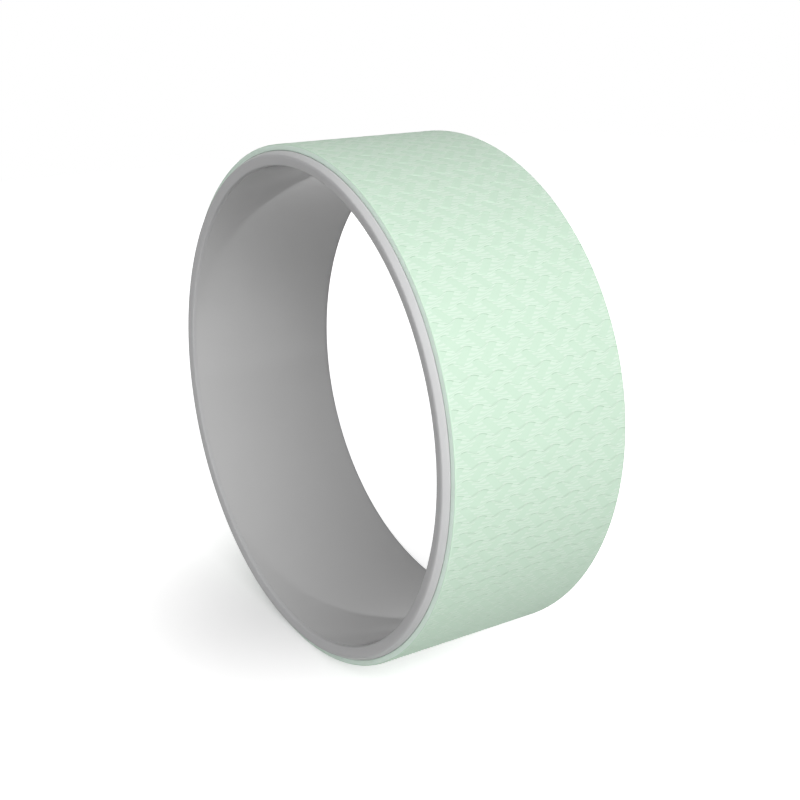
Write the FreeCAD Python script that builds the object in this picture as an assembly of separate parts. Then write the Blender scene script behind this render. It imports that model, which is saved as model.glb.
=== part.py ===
import FreeCAD, Part
import math
import os

# Yoga wheel: a hollow double-walled plastic hoop with two rounded rims and a foam mat round it.
# Millimetres. The wheel stands on its tread: its axis is Y, its centre is the origin, Z is up.

# Overall sizes
tread_diameter = 330.0
overall_width = 121.0

# Foam mat, a strip wound round the hoop and butted end to end, on an adhesive film
mat_thickness = 5.6
mat_corner_break = 0.6
film_thickness = 0.3
seam_angle_deg = 180.0
seam_width = 0.8
seam_depth = 1.0
foot_flat_depth = 0.5

# The two walls of the hoop and the hollow between them
inner_wall = 2.0
outer_wall = 2.0
wall_gap = 2.7

# Stiffening ribs moulded inside the outer hoop
cross_rib_count = 24
cross_rib_thickness = 1.8
rib_clearance = 0.1
rib_end_gap = 1.5

# Rims: a lip with a rounded crest, a flange over the edge of the mat, and a spigot between the two walls
lip_step = 0.2
lip_wall = 2.7
lip_height = 3.8
crest_round = 1.2
crest_inset = 5.0
crest_land = 1.0
inner_crest_steps = 2
outer_crest_steps = 4
flange_edge = 0.7
flange_cover = 1.8
spigot_length = 8.0
spigot_clearance = 0.1

# One overrun for all cuts
overrun = 2.0

# Sizes that follow
tread_radius = tread_diameter / 2
half_width = overall_width / 2
mat_inner_radius = tread_radius - mat_thickness
hoop_radius = mat_inner_radius - film_thickness
cavity_outer_radius = hoop_radius - outer_wall
cavity_inner_radius = cavity_outer_radius - wall_gap
bore_radius = cavity_inner_radius - inner_wall
half_hoop = half_width - lip_height
spigot_end = half_hoop - spigot_length
half_rib = spigot_end - rib_end_gap

ORIGIN = FreeCAD.Vector(0, 0, 0)
WHEEL_AXIS = FreeCAD.Vector(0, 1, 0)
SECTION_NORMAL = FreeCAD.Vector(0, 0, 1)
FULL_TURN_DEG = 360.0


def at(radius, along):
    """A point of a cross-section: its distance from the wheel's axis and its place along it."""
    return FreeCAD.Vector(radius, along, 0)


def straight(points):
    """The straight edges that join the points in turn."""
    return [Part.LineSegment(a, b).toShape() for a, b in zip(points[:-1], points[1:])]


def closed(points):
    """The straight edges of a closed cross-section."""
    return straight(points + points[:1])


def touch_point(corner, centre, radius, turn):
    """Where a line from the corner touches the circle; turn is +1 or -1, for the side that it passes."""
    offset = corner - centre
    swing = FreeCAD.Rotation(SECTION_NORMAL, turn * math.degrees(math.acos(radius / offset.Length)))
    return centre + swing.multVec(offset) * (radius / offset.Length)


def round_points(centre, start, end, steps):
    """Points of the short arc from start to end, so that a round edge is a few narrow cones."""
    spoke = start - centre
    turn_deg = math.degrees(spoke.getAngle(end - centre))
    if spoke.cross(end - centre).z < 0:
        turn_deg = -turn_deg
    swings = [FreeCAD.Rotation(SECTION_NORMAL, turn_deg * step / steps) for step in range(1, steps)]
    return [start] + [centre + swing.multVec(spoke) for swing in swings] + [end]


def turned(edges):
    """The ring that a closed cross-section makes round the wheel's axis."""
    face = Part.Face(Part.Wire(edges))
    return face.revolve(ORIGIN, WHEEL_AXIS, FULL_TURN_DEG)


def plain_ring(inner_radius, outer_radius, low, high):
    """A ring of rectangular section."""
    return turned(closed([
        at(inner_radius, low),
        at(outer_radius, low),
        at(outer_radius, high),
        at(inner_radius, high),
    ]))


def inner_hoop():
    """The smooth wall of the bore."""
    return plain_ring(bore_radius, cavity_inner_radius, -half_hoop, half_hoop)


def cross_rib(angle_deg):
    """One rib across the hoop, rooted in the outer wall and just clear of the inner one."""
    foot = cavity_inner_radius + rib_clearance
    height = cavity_outer_radius + outer_wall / 2 - foot
    corner = FreeCAD.Vector(foot, -half_rib, -cross_rib_thickness / 2)
    rib = Part.makeBox(height, 2 * half_rib, cross_rib_thickness, corner)
    rib.rotate(ORIGIN, WHEEL_AXIS, angle_deg)
    return rib


def outer_hoop():
    """The wall that carries the mat, with its ribs on the inside."""
    wall = plain_ring(cavity_outer_radius, hoop_radius, -half_hoop, half_hoop)
    step_deg = FULL_TURN_DEG / cross_rib_count
    ribs = [cross_rib(index * step_deg) for index in range(cross_rib_count)]
    return wall.multiFuse(ribs).removeSplitter()


def rim():
    """The rim on the +Y side: two slopes run tangent into a rounded crest, and a spigot plugs the hoop."""
    lip_foot = at(bore_radius + lip_step, half_hoop)
    lip_corner = at(lip_foot.x, half_hoop + lip_wall)
    flange_radius = mat_inner_radius + flange_cover
    flange_corner = at(flange_radius, half_hoop + flange_edge)
    land_start = at(lip_foot.x + crest_inset, half_width)
    land_end = at(land_start.x + crest_land, half_width)
    inner_centre = at(land_start.x, half_width - crest_round)
    outer_centre = at(land_end.x, half_width - crest_round)
    inner_touch = touch_point(lip_corner, inner_centre, crest_round, -1)
    outer_touch = touch_point(flange_corner, outer_centre, crest_round, 1)
    spigot_outer = cavity_outer_radius - spigot_clearance
    spigot_inner = cavity_inner_radius + spigot_clearance

    lip = [lip_foot, lip_corner]
    crest = round_points(inner_centre, inner_touch, land_start, inner_crest_steps)
    crest += round_points(outer_centre, land_end, outer_touch, outer_crest_steps)
    flange = [flange_corner, at(flange_radius, half_hoop)]
    spigot = [
        at(spigot_outer, half_hoop),
        at(spigot_outer, spigot_end),
        at(spigot_inner, spigot_end),
        at(spigot_inner, half_hoop),
    ]
    return turned(closed(lip + crest + flange + spigot))


def adhesive_film():
    """The film that holds the mat to the hoop."""
    return plain_ring(hoop_radius, mat_inner_radius, -half_hoop, half_hoop)


def seam_cutter():
    """The open groove where the two ends of the strip butt, right across the tread."""
    half_seam = seam_width / 2
    length = 2 * (half_hoop + overrun)
    mouth = tread_radius + overrun
    slope = half_seam / seam_depth
    section = Part.makePolygon([
        FreeCAD.Vector(tread_radius - seam_depth, -half_hoop - overrun, 0),
        FreeCAD.Vector(mouth, -half_hoop - overrun, -half_seam - slope * overrun),
        FreeCAD.Vector(mouth, -half_hoop - overrun, half_seam + slope * overrun),
        FreeCAD.Vector(tread_radius - seam_depth, -half_hoop - overrun, 0),
    ])
    cutter = Part.Face(section).extrude(FreeCAD.Vector(0, length, 0))
    cutter.rotate(ORIGIN, WHEEL_AXIS, seam_angle_deg)
    return cutter


def tread_mat():
    """The foam mat: broken outer corners, the butt seam, and the patch it presses flat as it stands."""
    side_top = tread_radius - mat_corner_break
    tread_end = half_hoop - mat_corner_break
    ring = turned(closed([
        at(mat_inner_radius, -half_hoop),
        at(side_top, -half_hoop),
        at(tread_radius, -tread_end),
        at(tread_radius, tread_end),
        at(side_top, half_hoop),
        at(mat_inner_radius, half_hoop),
    ]))

    foot_half = math.sqrt(2 * tread_radius * foot_flat_depth) + overrun
    foot_corner = FreeCAD.Vector(-foot_half, -half_hoop - overrun, -tread_radius - overrun)
    foot = Part.makeBox(2 * foot_half, 2 * (half_hoop + overrun), foot_flat_depth + overrun, foot_corner)
    return ring.cut([foot, seam_cutter()])


def main():
    rear_rim = rim()
    nodes = {
        "tread_mat": tread_mat(),
        "adhesive_film": adhesive_film(),
        "outer_hoop": outer_hoop(),
        "inner_hoop": inner_hoop(),
        "front_rim": rear_rim.mirror(ORIGIN, WHEEL_AXIS),
        "rear_rim": rear_rim,
    }
    os.makedirs("parts", exist_ok=True)
    for name, shape in nodes.items():
        if shape.ShapeType != "Solid":
            shape = shape.Solids[0]
        box = shape.optimalBoundingBox(False)
        print(f"{name}: {shape.Volume / 1000:.1f} cm3, valid {shape.isValid()}, "
              f"{box.XLength:.1f} x {box.YLength:.1f} x {box.ZLength:.1f} mm")
        shape.exportStep(f"parts/{name}.step")


main()
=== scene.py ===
"""The looks of a yoga wheel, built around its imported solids. Metres; the wheel's axis is Y and Z is up."""

import math

import bmesh
import bpy
from mathutils import Matrix, Vector


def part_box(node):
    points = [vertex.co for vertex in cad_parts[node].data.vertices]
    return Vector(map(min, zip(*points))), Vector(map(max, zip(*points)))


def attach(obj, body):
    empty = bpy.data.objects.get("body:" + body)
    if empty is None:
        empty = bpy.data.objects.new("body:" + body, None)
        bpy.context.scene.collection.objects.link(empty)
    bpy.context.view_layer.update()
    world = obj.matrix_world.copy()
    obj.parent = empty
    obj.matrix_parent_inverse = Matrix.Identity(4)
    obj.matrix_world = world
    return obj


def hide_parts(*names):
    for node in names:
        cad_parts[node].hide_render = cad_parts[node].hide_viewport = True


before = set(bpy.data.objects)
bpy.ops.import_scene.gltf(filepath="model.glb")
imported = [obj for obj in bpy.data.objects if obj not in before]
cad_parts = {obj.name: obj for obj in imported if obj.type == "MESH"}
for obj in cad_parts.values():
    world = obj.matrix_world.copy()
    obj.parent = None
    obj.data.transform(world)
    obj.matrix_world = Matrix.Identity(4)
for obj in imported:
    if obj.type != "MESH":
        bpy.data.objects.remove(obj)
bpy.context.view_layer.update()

# Sizes read from the frame
mat_low, mat_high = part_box("tread_mat")
rim_low, rim_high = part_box("rear_rim")
TREAD_RADIUS = mat_high.x
MAT_HALF_WIDTH = mat_high.y
MAT_INNER_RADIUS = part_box("adhesive_film")[1].x
FLANGE_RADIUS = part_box("front_rim")[1].x
RIM_TOP = rim_high.y
SPIGOT_END = rim_low.y
FLOOR_Z = mat_low.z

# The foam mat's edges; the tread's points are thinned to the edge spacing where they meet the shoulders
SHOULDER_RADIUS = 0.0006
SHOULDER_STEPS = 3
RECESS_WIDTH = 0.0004
RECESS_DEPTH = 0.0005
EDGE_SPACING = 0.0008
SEAM_GAP = 0.0004

# The foam mat's woven relief: leaning strands under wavy grooves, with beads and ribbed facets between
WEAVE_PITCH = 0.0155
WEAVE_ROWS = 140
COLUMNS = 10
LEVELS = 8
LEAN_COLUMNS = 5
WAVE_HEIGHT = 0.0024
WAVE_RISE_SHARE = 0.45
MIRROR_SHARE = 0.22
STRAND_SHARES = (0.42, 0.86)
STRAND_DEPTH_SHARE = 0.6
STEP_SHARE = 0.05
STEP_DEPTH = 0.00014
RIB_HEIGHT = 0.00008
BEAD_START_SHARE = 0.70
OPEN_SHARES = (0.66, 0.94)
OPEN_DEPTH_SHARE = 0.3

# The ribs' tops reach the tread's radius
SHEET_RADIUS = TREAD_RADIUS - RIB_HEIGHT

# The rims' section, by insets from the flange's radius and heights above the mat's side
LIP_INSET = 0.0086
LIP_HEIGHT = 0.0027
LIP_EASE = 0.0011
CREST_INSETS = (0.0037, 0.00194)
CREST_EASES = (0.0002, 0.00066)
FLANGE_HEIGHT = 0.0007
FLANGE_EASE = 0.00025
SPIGOT_INSETS = (0.0067, 0.0043)
EASE_STEPS = 5
RIM_TURNS = 240

# Tolerances of the cuts, and how far from the seam's plane the faces lie that the seam may cut
CUT_TOLERANCE = 1e-7
ON_EDGE_TOLERANCE = 1e-6
SEAM_REACH = 0.02

# Edges that turn by more than this stay crisp, on the carried-over solids and on the pieces made here
SHARP_SOLID_DEG = 22.0
SHARP_PIECE_DEG = 60.0

# Colours, linear
MINT = (0.583, 0.760, 0.614, 1.0)
MINT_PALE = (0.604, 0.775, 0.634, 1.0)
# Painted highlight: paler mints on the raised ribs of the facets and beads, where light would catch them;
# the palest one is also the cut edge's own colour
MINT_PAINTED_HIGHLIGHT = (0.638, 0.793, 0.664, 1.0)
MINT_HIGHLIGHT_AND_CUT_EDGE = (0.700, 0.832, 0.722, 1.0)
# Painted shade: a darker mint on the steps under the wavy lines, standing in for their shadow
MINT_PAINTED_SHADE = (0.370, 0.545, 0.400, 1.0)
MINT_CUT = (0.800, 0.950, 0.870, 1.0)
GREY_WALL = (0.54, 0.54, 0.54, 1.0)
GREY_RIM = (0.53, 0.53, 0.535, 1.0)
GREY_HIDDEN = (0.30, 0.30, 0.30, 1.0)
FILM_COLOUR = (0.78, 0.76, 0.66, 1.0)
FLOOR_COLOUR = (0.62, 0.62, 0.62, 1.0)
WHITE = (1.0, 1.0, 1.0, 1.0)

# Material slots of the foam mat, and the name and two colours of each in turn
STRAND, PAINTED_RIB_HIGHLIGHT, PAINTED_GROOVE_SHADE, CUT_EDGE = range(4)
FOAM_SLOTS = (
    ("foam_strand", MINT, MINT_PALE),
    # The raised ribs' slot, a painted highlight
    ("foam_rib_painted_highlight", MINT_PAINTED_HIGHLIGHT, MINT_HIGHLIGHT_AND_CUT_EDGE),
    # The grooves' slot, a painted shade
    ("foam_groove_painted_shade", MINT_PAINTED_SHADE, MINT),
    ("foam_cut_edge", MINT_HIGHLIGHT_AND_CUT_EDGE, MINT_CUT),
)

# Finishes: each noise by its scale and detail, each bump by its depth and strength
FOAM_MOTTLE = (90.0, 3.0)
FOAM_SKIN = (2600.0, 2.0)
FOAM_SKIN_BUMP = (0.00018, 0.8)
FOAM_ROUGHNESS = (0.50, 0.62)
FOAM_GLOSS = 0.25
PLASTIC_FLOW = (14.0, 4.0)
PLASTIC_DARK_SHARE = 0.96
PLASTIC_GRAIN = (900.0, 3.0)
PLASTIC_GRAIN_BUMP = (0.00002, 0.35)
PLASTIC_ROUGHNESS_SPREAD = (-0.03, 0.04)
FILM_CLOUD = (40.0, 2.0)
FILM_DULL_SHARE = 0.9
FILM_ROUGHNESS = 0.4
FLOOR_ROUGHNESS = 0.9

# Roughness and gloss of each plastic
RIM_FINISH = (0.25, 0.06)
WALL_FINISH = (0.08, 0.35)
HIDDEN_FINISH = (0.45, 0.5)

# The floor's camera-seen glow is weakest at a place beside the wheel's foot, a painted shade there on top of
# the cast shadow, and it rises to plain white between these distances, painting out any shadow farther off
FLOOR_HALF = 3.0
PAINTED_SHADE_CENTRE = (-0.035, -0.050)
FADE_START = 0.0
FADE_END = 0.23
GLOW_AT_PAINTED_SHADE = 0.34

# The surround's strength as light, and as the camera and reflections see it
WORLD_LIGHT = 0.135
WORLD_SEEN = 1.0

# Square lamps: each one's name, place, watts, and whether shiny surfaces reflect it
LAMP_SIZE = 1.0
LAMPS = (
    ("key", (1.38, -0.35, 0.82), 18.2, True),
    ("front", (1.00, -1.05, 1.00), 10.0, True),
    ("fill", (-1.05, -1.15, 0.70), 0.5, True),
    ("back", (-1.35, 1.15, 0.45), 4.5, False),
)

# Camera, set by the outline of the wheel in an 800-pixel square picture
PICTURE_PIXELS = 800.0
SENSOR_MM = 36.0
CAMERA_AZIMUTH_DEG = 56.85
CAMERA_ELEVATION_DEG = 18.50
CAMERA_DISTANCE = 0.680
FOCAL_PIXELS = 1018.3
CAMERA_YAW_DEG = -8.08
CAMERA_PITCH_DEG = -0.24
SHIFT_RIGHT_PIXELS = 175.6
SHIFT_UP_PIXELS = -2.0


def leans_right(row):
    """Every other row of strands leans to the right as it rises, and the rest lean to the left."""
    return row % 2 == 0


def line_share(row, along):
    """How far a place lies along the row's wavy line from its low point, as a share of the pitch."""
    share = along / WEAVE_PITCH if leans_right(row) else MIRROR_SHARE - along / WEAVE_PITCH
    return share % 1.0


def line_rise(share):
    """The height of the wavy line above its low point: a quick rise and a slower fall."""
    if share < WAVE_RISE_SHARE:
        rise_share = share / WAVE_RISE_SHARE
    else:
        rise_share = (1 - share) / (1 - WAVE_RISE_SHARE)
    return WAVE_HEIGHT * (1 - math.cos(math.pi * rise_share)) / 2


def strand_share(share):
    """How far a place lies across the strand, from 0 to 1, or None on the ribbed facet beside it."""
    first, last = STRAND_SHARES
    if share < first or share > last:
        return None
    return (share - first) / (last - first)


def groove_opens(share):
    """Whether the groove runs out here, among the beads."""
    return OPEN_SHARES[0] < share < OPEN_SHARES[1]


def relief(share, level):
    """Height of the relief down one column: a step under the line, then a rise to the next line."""
    left_share = 1 - (level - 1) / (LEVELS - 1)
    depth = STEP_DEPTH * OPEN_DEPTH_SHARE if groove_opens(share) else STEP_DEPTH
    rib = RIB_HEIGHT if level % 2 else -RIB_HEIGHT
    across_share = strand_share(share)
    if across_share is None:
        return rib - depth * left_share * left_share
    if across_share > BEAD_START_SHARE:
        return rib - depth * STRAND_DEPTH_SHARE * left_share
    return -depth * STRAND_DEPTH_SHARE * left_share


def face_slot(share, level):
    """The material slot of a face of the relief, by its column and its level: the step under the line gets a
    painted shade, and the raised ribs of the facets and beads get a painted highlight.
    """
    across_share = strand_share(share)
    if level == 0:
        # The step under each wavy line takes the darker mint, a painted shade, except where the groove runs
        # out
        return STRAND if groove_opens(share) else PAINTED_GROOVE_SHADE
    if across_share is None or across_share > BEAD_START_SHARE:
        # Raised ribs, at odd levels, take the paler mint, a painted highlight
        return PAINTED_RIB_HIGHLIGHT if level % 2 else STRAND
    return STRAND


def ring_point(radius, along, angle):
    """A point by its distance from the wheel's axis, its place along it and its angle round it."""
    return (radius * math.cos(angle), along, radius * math.sin(angle))


def ring_angle(vert):
    """The angle of a point round the wheel's axis."""
    return math.atan2(vert.co.z, vert.co.x)


def woven_sheet():
    """Points of the tread's relief, and faces with a slot each; the sheet overhangs the mat's sides."""
    row_height = 2 * math.pi * TREAD_RADIUS / WEAVE_ROWS
    spacing = WEAVE_PITCH / COLUMNS
    reach = math.ceil(MAT_HALF_WIDTH / spacing) + LEAN_COLUMNS + 1
    columns = range(-reach, reach + 1)
    corners = ((0, 0), (0, 1), (1, 1), (1, 0))
    places, points, faces = {}, [], []

    def line_place(row, column):
        along = column * spacing
        return along, row * row_height + line_rise(line_share(row, along))

    def add_point(key, along, arc, height):
        places[key] = len(points)
        points.append(ring_point(SHEET_RADIUS + height, along, arc / TREAD_RADIUS))

    for row in range(WEAVE_ROWS):
        for column in columns:
            add_point((row, column, 0), *line_place(row, column), 0)
    for row in range(WEAVE_ROWS):
        lean = -LEAN_COLUMNS if leans_right(row) else LEAN_COLUMNS
        kept = [column for column in columns if column + lean in columns]
        for column in kept:
            top = line_place(row, column)
            foot = line_place(row - 1, column + lean)
            share = line_share(row, top[0])
            for level in range(1, LEVELS):
                down_share = STEP_SHARE + (1 - STEP_SHARE) * (level - 1) / (LEVELS - 1)
                along = top[0] + down_share * (foot[0] - top[0])
                arc = top[1] + down_share * (foot[1] - top[1])
                add_point((row, column, level), along, arc, relief(share, level))
            places[row, column, LEVELS] = places[(row - 1) % WEAVE_ROWS, column + lean, 0]
        for column in kept[:-1]:
            share = line_share(row, (2 * column + 1) * spacing / 2)
            for level in range(LEVELS):
                face = [places[row, column + right, level + down] for right, down in corners]
                faces.append((face, face_slot(share, level)))
    return points, faces


def bisect(bm, parts, place, normal, drop_outer=False):
    """Cuts the parts of the mesh along a plane, and drops what lies beyond it where that is asked for."""
    bmesh.ops.bisect_plane(
        bm, geom=parts, dist=CUT_TOLERANCE, plane_co=place, plane_no=normal, clear_outer=drop_outer)


def edge_points(bm, along):
    """The points that lie at a place along the wheel's axis."""
    return [v for v in bm.verts if abs(v.co.y - along) < ON_EDGE_TOLERANCE]


def drop_flaps(bm):
    """Removes the few faces that thinning leaves hanging on a third side of an edge or folded over."""
    flaps = [f for f in bm.faces if any(len(e.link_faces) > 2 for e in f.edges)
             and sum(e.is_boundary for e in f.edges) == 2]
    bmesh.ops.delete(bm, geom=flaps, context="FACES")
    folds = [v for v in bm.verts if len(v.link_edges) == 2 and not v.is_boundary]
    bmesh.ops.dissolve_verts(bm, verts=folds)


def join_loops(bm, loop, row, slot):
    """A band of faces between two rows of points round the wheel."""
    for here in range(len(loop)):
        after = (here + 1) % len(loop)
        bm.faces.new((loop[here], loop[after], row[after], row[here])).material_index = slot


def loop_edges(loop):
    """The edges that join a row of points round the wheel, each once and in turn."""
    wanted = set(loop)
    return list(dict.fromkeys(e for v in loop for e in v.link_edges if e.other_vert(v) in wanted))


def side_rows():
    """The mat's side, from the tread inwards: each row's inset and its height over the sheet."""
    rows = []
    for step in range(1, SHOULDER_STEPS + 1):
        angle = math.pi / 2 * step / SHOULDER_STEPS
        inset = SHOULDER_RADIUS * (1 - math.sin(angle))
        drop = SHOULDER_RADIUS * (1 - math.cos(angle))
        rows.append((inset, -drop))
    # Measured from the tread, so both lie a rib's height lower and the mat sinks that far into its film
    recess_height = FLANGE_RADIUS + RECESS_WIDTH - TREAD_RADIUS
    inner_height = MAT_INNER_RADIUS - TREAD_RADIUS
    return rows + [(0, recess_height), (RECESS_DEPTH, recess_height), (RECESS_DEPTH, inner_height)]


def add_side(bm, side):
    """Trims the sheet and adds the rounded shoulder and recessed side; returns the innermost row."""
    edge = side * (MAT_HALF_WIDTH - SHOULDER_RADIUS)
    bisect(bm, bm.verts[:] + bm.edges[:] + bm.faces[:], (0, edge, 0), (0, side, 0), drop_outer=True)
    bmesh.ops.remove_doubles(bm, verts=edge_points(bm, edge), dist=EDGE_SPACING)
    drop_flaps(bm)
    loop = sorted(edge_points(bm, edge), key=ring_angle)
    angles = [ring_angle(vert) for vert in loop]
    for step, (inset, height) in enumerate(side_rows()):
        along = side * (MAT_HALF_WIDTH - inset)
        row = [bm.verts.new(ring_point(SHEET_RADIUS + height, along, angle)) for angle in angles]
        join_loops(bm, loop, row, STRAND if step < SHOULDER_STEPS else CUT_EDGE)
        loop = row
    return loop


def near_seam(face, reach):
    """Whether the middle of a face is on the hidden side, within reach of the seam's plane."""
    middle = face.calc_center_median()
    return middle.x < 0 and abs(middle.z) < reach


def cut_seam(bm):
    """Opens the narrow butt joint of the strip on the hidden side, and closes its two end faces."""
    half_gap = SEAM_GAP / 2
    for side in (-1, 1):
        faces = [f for f in bm.faces if near_seam(f, SEAM_REACH)]
        parts = dict.fromkeys(part for f in faces for part in (f, *f.edges, *f.verts))
        bisect(bm, list(parts), (0, 0, side * half_gap), (0, 0, 1))
    gap = [f for f in bm.faces if near_seam(f, half_gap)]
    bmesh.ops.delete(bm, geom=gap, context="FACES")
    bmesh.ops.holes_fill(bm, edges=[e for e in bm.edges if e.is_boundary], sides=0)


def shade(mesh, sharp_deg):
    """Smooth shading, with the edges crisp that turn by more than the angle."""
    mesh.shade_smooth()
    mesh.set_sharp_from_angle(angle=math.radians(sharp_deg))


def new_piece(name, bm, materials):
    """An object of the mesh, with its faces turned outwards and its materials in slot order."""
    bmesh.ops.recalc_face_normals(bm, faces=bm.faces)
    mesh = bpy.data.meshes.new(name)
    bm.to_mesh(mesh)
    bm.free()
    for material in materials:
        mesh.materials.append(material)
    shade(mesh, SHARP_PIECE_DEG)
    piece = bpy.data.objects.new(name, mesh)
    bpy.context.scene.collection.objects.link(piece)
    return piece


def tread_mat():
    """The foam mat with its embossed tread, pressed flat where it stands."""
    points, faces = woven_sheet()
    bm = bmesh.new()
    verts = [bm.verts.new(point) for point in points]
    for corners, slot in faces:
        bm.faces.new([verts[index] for index in corners]).material_index = slot
    inner_rows = [add_side(bm, side) for side in (-1, 1)]
    bmesh.ops.bridge_loops(bm, edges=[e for row in inner_rows for e in loop_edges(row)])
    cut_seam(bm)
    for vert in bm.verts:
        vert.co.z = max(vert.co.z, FLOOR_Z)
    return new_piece("foam_tread", bm, [foam_material(*finish) for finish in FOAM_SLOTS])


def eased(corners):
    """The points of a closed section, whose corners are rounded over the length that each one states."""
    points = []
    for index, (radius, along, length) in enumerate(corners):
        corner = Vector((radius, along))
        if length == 0:
            points.append(corner)
            continue
        before = Vector(corners[index - 1][:2])
        after = Vector(corners[(index + 1) % len(corners)][:2])
        start = corner + (before - corner).normalized() * length
        end = corner + (after - corner).normalized() * length
        for step in range(EASE_STEPS + 1):
            share = step / EASE_STEPS
            points.append(start.lerp(corner, share).lerp(corner.lerp(end, share), share))
    return points


def rim_section():
    """The +Y rim's section, as distances from the axis and places along it: lip, crest, flange, spigot."""
    seat = MAT_HALF_WIDTH
    lip_radius = FLANGE_RADIUS - LIP_INSET
    crest_start, crest_end = [FLANGE_RADIUS - inset for inset in CREST_INSETS]
    spigot_inner, spigot_outer = [FLANGE_RADIUS - inset for inset in SPIGOT_INSETS]
    return eased([
        (lip_radius, seat, 0),
        (lip_radius, seat + LIP_HEIGHT, LIP_EASE),
        (crest_start, RIM_TOP, CREST_EASES[0]),
        (crest_end, RIM_TOP, CREST_EASES[1]),
        (FLANGE_RADIUS, seat + FLANGE_HEIGHT, FLANGE_EASE),
        (FLANGE_RADIUS, seat, 0),
        (spigot_outer, seat, 0),
        (spigot_outer, SPIGOT_END, 0),
        (spigot_inner, SPIGOT_END, 0),
        (spigot_inner, seat, 0),
    ])


def rounded_rim(name, side, material):
    """A rim with eased corners; side is +1 or -1, for the side of the wheel that it is on."""
    angles = [2 * math.pi * turn / RIM_TURNS for turn in range(RIM_TURNS)]
    bm = bmesh.new()
    loops = []
    for radius, along in rim_section():
        loops.append([bm.verts.new(ring_point(radius, side * along, angle)) for angle in angles])
    for loop, row in zip(loops, loops[1:] + loops[:1]):
        join_loops(bm, loop, row, 0)
    return new_piece(name, bm, [material])


def new_material(name):
    """A node material, with its nodes and links; it starts with a shader and an output."""
    material = bpy.data.materials.new(name)
    material.use_nodes = True
    return material, material.node_tree.nodes, material.node_tree.links


def noise(nodes, links, scale, detail):
    """A noise texture in the object's own space."""
    place = nodes.new("ShaderNodeTexCoord")
    texture = nodes.new("ShaderNodeTexNoise")
    texture.inputs["Scale"].default_value = scale
    texture.inputs["Detail"].default_value = detail
    links.new(place.outputs["Object"], texture.inputs["Vector"])
    return texture.outputs["Fac"]


def ranged(nodes, links, value, low, high):
    """The value, from 0 to 1, brought between low and high."""
    node = nodes.new("ShaderNodeMapRange")
    node.inputs["To Min"].default_value = low
    node.inputs["To Max"].default_value = high
    links.new(value, node.inputs["Value"])
    return node.outputs["Result"]


def mixed(nodes, links, factor, first, second):
    """A colour between two, by the factor."""
    node = nodes.new("ShaderNodeMix")
    node.data_type = "RGBA"
    node.inputs["A"].default_value = first
    node.inputs["B"].default_value = second
    links.new(factor, node.inputs["Factor"])
    return node.outputs["Result"]


def bumped(nodes, links, shader, height, depth, strength):
    """Gives the shader a bump of the height."""
    node = nodes.new("ShaderNodeBump")
    node.inputs["Distance"].default_value = depth
    node.inputs["Strength"].default_value = strength
    links.new(height, node.inputs["Height"])
    links.new(node.outputs["Normal"], shader.inputs["Normal"])


def dimmed(colour, share):
    """The colour with its red, green and blue brought down to the share."""
    *channels, alpha = colour
    return (*[share * channel for channel in channels], alpha)


def foam_material(name, colour, pale):
    """Closed-cell foam: a soft mottle, a fine pebble skin and a low satin sheen."""
    material, nodes, links = new_material(name)
    shader = nodes["Principled BSDF"]
    mottle = noise(nodes, links, *FOAM_MOTTLE)
    links.new(mixed(nodes, links, mottle, colour, pale), shader.inputs["Base Color"])
    links.new(ranged(nodes, links, mottle, *FOAM_ROUGHNESS), shader.inputs["Roughness"])
    shader.inputs["Specular IOR Level"].default_value = FOAM_GLOSS
    skin = noise(nodes, links, *FOAM_SKIN)
    bumped(nodes, links, shader, skin, *FOAM_SKIN_BUMP)
    return material


def plastic_material(name, colour, roughness, gloss):
    """Moulded plastic: an even colour, a faint flow mottle and a fine grain."""
    material, nodes, links = new_material(name)
    shader = nodes["Principled BSDF"]
    flow = noise(nodes, links, *PLASTIC_FLOW)
    darker = dimmed(colour, PLASTIC_DARK_SHARE)
    low, high = [roughness + spread for spread in PLASTIC_ROUGHNESS_SPREAD]
    links.new(mixed(nodes, links, flow, darker, colour), shader.inputs["Base Color"])
    links.new(ranged(nodes, links, flow, low, high), shader.inputs["Roughness"])
    shader.inputs["Specular IOR Level"].default_value = gloss
    grain = noise(nodes, links, *PLASTIC_GRAIN)
    bumped(nodes, links, shader, grain, *PLASTIC_GRAIN_BUMP)
    return material


def film_material():
    """The adhesive film: dull, pale and slightly cloudy."""
    material, nodes, links = new_material("film")
    shader = nodes["Principled BSDF"]
    cloud = noise(nodes, links, *FILM_CLOUD)
    dull = dimmed(FILM_COLOUR, FILM_DULL_SHARE)
    links.new(mixed(nodes, links, cloud, dull, FILM_COLOUR), shader.inputs["Base Color"])
    shader.inputs["Roughness"].default_value = FILM_ROUGHNESS
    return material


def dress(node, material):
    """Gives a carried-over solid its finish."""
    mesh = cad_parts[node].data
    mesh.materials.clear()
    mesh.materials.append(material)
    shade(mesh, SHARP_SOLID_DEG)


def seen_directly(nodes, links):
    """1 for rays from the camera and for rays that a shiny or clear surface sends on, else 0."""
    path = nodes.new("ShaderNodeLightPath")
    total = path.outputs["Is Camera Ray"]
    for other in ("Is Glossy Ray", "Is Transmission Ray"):
        larger = nodes.new("ShaderNodeMath")
        larger.operation = "MAXIMUM"
        links.new(total, larger.inputs[0])
        links.new(path.outputs[other], larger.inputs[1])
        total = larger.outputs["Value"]
    return total


def as_light_or_seen(nodes, links, light, seen, output):
    """Gives the output one shader where it acts as light, and the other where it is seen directly."""
    choice = nodes.new("ShaderNodeMixShader")
    links.new(seen_directly(nodes, links), choice.inputs["Fac"])
    links.new(light, choice.inputs[1])
    links.new(seen, choice.inputs[2])
    links.new(choice.outputs["Shader"], output.inputs["Surface"])


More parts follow.
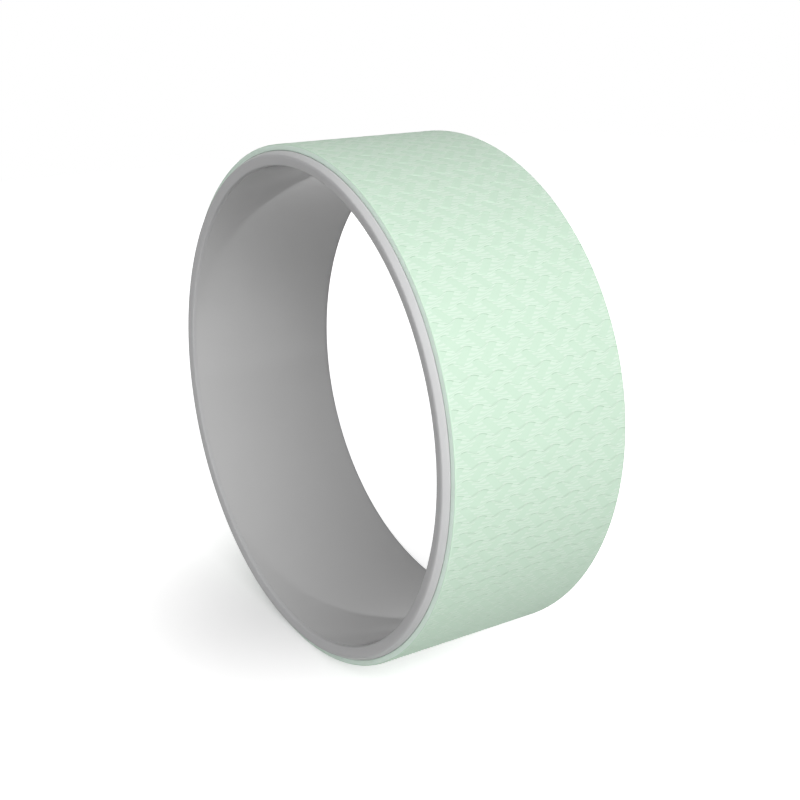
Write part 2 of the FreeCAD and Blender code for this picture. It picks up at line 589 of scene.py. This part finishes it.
def glow_with_painted_shade(nodes, links):
    """A glow that lifts the floor to white with the distance from the place beside the wheel's foot; where
    it is weak near that place it leaves a painted shade, and its white farther off paints out any shadow.
    """
    place = nodes.new("ShaderNodeTexCoord")
    reach = nodes.new("ShaderNodeVectorMath")
    reach.operation = "LENGTH"
    links.new(place.outputs["Object"], reach.inputs[0])
    fade = nodes.new("ShaderNodeMapRange")
    fade.interpolation_type = "SMOOTHSTEP"
    fade.inputs["From Min"].default_value = FADE_START
    fade.inputs["From Max"].default_value = FADE_END
    fade.inputs["To Min"].default_value = GLOW_AT_PAINTED_SHADE
    links.new(reach.outputs["Value"], fade.inputs["Value"])
    lift = nodes.new("ShaderNodeEmission")
    links.new(fade.outputs["Result"], lift.inputs["Strength"])
    return lift.outputs["Emission"]


def floor_material():
    """White paper: it keeps the soft shadow with a painted shade beside the wheel's foot, and shows white to
    the camera farther off, over any shadow there.
    """
    material, nodes, links = new_material("floor")
    shader = nodes["Principled BSDF"]
    shader.inputs["Base Color"].default_value = FLOOR_COLOUR
    shader.inputs["Roughness"].default_value = FLOOR_ROUGHNESS
    shader.inputs["Specular IOR Level"].default_value = 0
    paper = shader.outputs["BSDF"]
    lifted = nodes.new("ShaderNodeAddShader")
    links.new(paper, lifted.inputs[0])
    links.new(glow_with_painted_shade(nodes, links), lifted.inputs[1])
    as_light_or_seen(nodes, links, paper, lifted.outputs["Shader"], nodes["Material Output"])
    return material


def add_floor():
    """A wide white floor at the foot of the wheel."""
    mesh = bpy.data.meshes.new("floor")
    corners = [(x * FLOOR_HALF, y * FLOOR_HALF, 0) for x, y in ((-1, -1), (1, -1), (1, 1), (-1, 1))]
    mesh.from_pydata(corners, [], [(0, 1, 2, 3)])
    mesh.materials.append(floor_material())
    floor = bpy.data.objects.new("floor", mesh)
    # The floor's origin is the centre of its painted shade
    floor.location = (*PAINTED_SHADE_CENTRE, FLOOR_Z)
    bpy.context.scene.collection.objects.link(floor)


def add_world():
    """An even pale surround: white to the camera and in reflections, softer as light."""
    world = bpy.data.worlds.new("surround")
    world.use_nodes = True
    nodes, links = world.node_tree.nodes, world.node_tree.links
    light = nodes["Background"]
    seen = nodes.new("ShaderNodeBackground")
    for background, strength in ((light, WORLD_LIGHT), (seen, WORLD_SEEN)):
        background.inputs["Color"].default_value = WHITE
        background.inputs["Strength"].default_value = strength
    as_light_or_seen(
        nodes, links, light.outputs["Background"], seen.outputs["Background"], nodes["World Output"])
    bpy.context.scene.world = world


def add_lamp(name, place, watts, reflected):
    """A square soft box that faces the wheel's centre."""
    data = bpy.data.lights.new(name, "AREA")
    data.shape = "SQUARE"
    data.size = LAMP_SIZE
    data.energy = watts
    lamp = bpy.data.objects.new(name, data)
    lamp.location = place
    lamp.rotation_euler = (-Vector(place)).to_track_quat("-Z", "Y").to_euler()
    lamp.visible_glossy = reflected
    bpy.context.scene.collection.objects.link(lamp)


def add_camera():
    """The camera, by its bearing from the wheel's centre and a small turn off that centre."""
    azimuth = math.radians(CAMERA_AZIMUTH_DEG)
    elevation = math.radians(CAMERA_ELEVATION_DEG)
    back = Vector((
        math.sin(azimuth) * math.cos(elevation),
        -math.cos(azimuth) * math.cos(elevation),
        math.sin(elevation),
    ))
    aim = (-back).to_track_quat("-Z", "Y").to_matrix()
    yaw = Matrix.Rotation(math.radians(-CAMERA_YAW_DEG), 3, "Y")
    pitch = Matrix.Rotation(math.radians(CAMERA_PITCH_DEG), 3, "X")
    data = bpy.data.cameras.new("camera")
    data.sensor_width = SENSOR_MM
    data.lens = FOCAL_PIXELS / PICTURE_PIXELS * SENSOR_MM
    data.shift_x = SHIFT_RIGHT_PIXELS / PICTURE_PIXELS
    data.shift_y = SHIFT_UP_PIXELS / PICTURE_PIXELS
    camera = bpy.data.objects.new("camera", data)
    camera.matrix_world = Matrix.Translation(back * CAMERA_DISTANCE) @ (aim @ yaw @ pitch).to_4x4()
    bpy.context.scene.collection.objects.link(camera)
    bpy.context.scene.camera = camera


def main():
    """Builds the pieces, ties them to the frame and sets up the picture."""
    mat = tread_mat()
    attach(mat, "root")
    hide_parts("tread_mat")

    rim_plastic = plastic_material("rim_plastic", GREY_RIM, *RIM_FINISH)
    for node, side in (("front_rim", -1), ("rear_rim", 1)):
        rim = rounded_rim("rounded_" + node, side, rim_plastic)
        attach(rim, "root")
        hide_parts(node)
    dress("inner_hoop", plastic_material("wall_plastic", GREY_WALL, *WALL_FINISH))
    dress("outer_hoop", plastic_material("hidden_plastic", GREY_HIDDEN, *HIDDEN_FINISH))
    dress("adhesive_film", film_material())

    add_floor()
    add_world()
    for lamp in LAMPS:
        add_lamp(*lamp)
    add_camera()
    bpy.context.scene.view_settings.view_transform = "Standard"


main()
